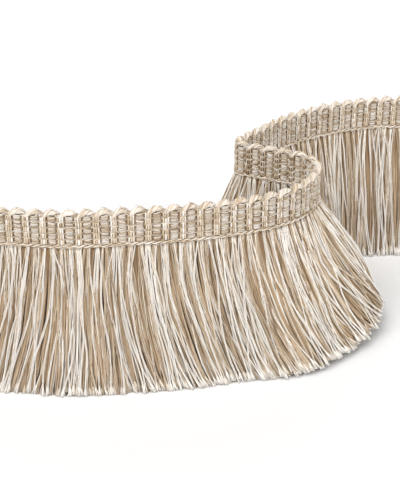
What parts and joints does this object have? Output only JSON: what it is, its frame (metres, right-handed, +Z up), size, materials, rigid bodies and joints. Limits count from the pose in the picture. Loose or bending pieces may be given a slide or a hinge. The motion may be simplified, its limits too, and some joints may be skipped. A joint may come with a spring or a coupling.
{
  "type": "moss fringe trim",
  "caption": "Cut length of moss fringe: a ribbed, woven heading with a roped, scalloped top edge above a thick skirt of cut yarn, standing on its yarn ends in an S-shaped wave.",
  "frame": {"origin": "on the floor, below the middle of the bounding box", "axes": "+Z up from the cut yarn ends to the scalloped edge, +X along the longest way of the wave, +Y from the front run to the rear run"},
  "size_m": [0.2154, 0.1402, 0.075],
  "materials": {
    "heading_weave": "matte woven ribs of ecru and linen-beige yarn",
    "skirt_yarn": "soft cut yarn, off-white mixed with linen beige, slight sheen"
  },
  "bodies": {
    "root": {"heading": "heading_weave", "fringe_01": "skirt_yarn", "fringe_02": "skirt_yarn", "fringe_03": "skirt_yarn", "fringe_04": "skirt_yarn", "fringe_05": "skirt_yarn", "fringe_06": "skirt_yarn", "fringe_07": "skirt_yarn", "fringe_08": "skirt_yarn", "fringe_09": "skirt_yarn", "fringe_10": "skirt_yarn", "fringe_11": "skirt_yarn", "fringe_12": "skirt_yarn", "fringe_13": "skirt_yarn"}
  },
  "joints": []
}
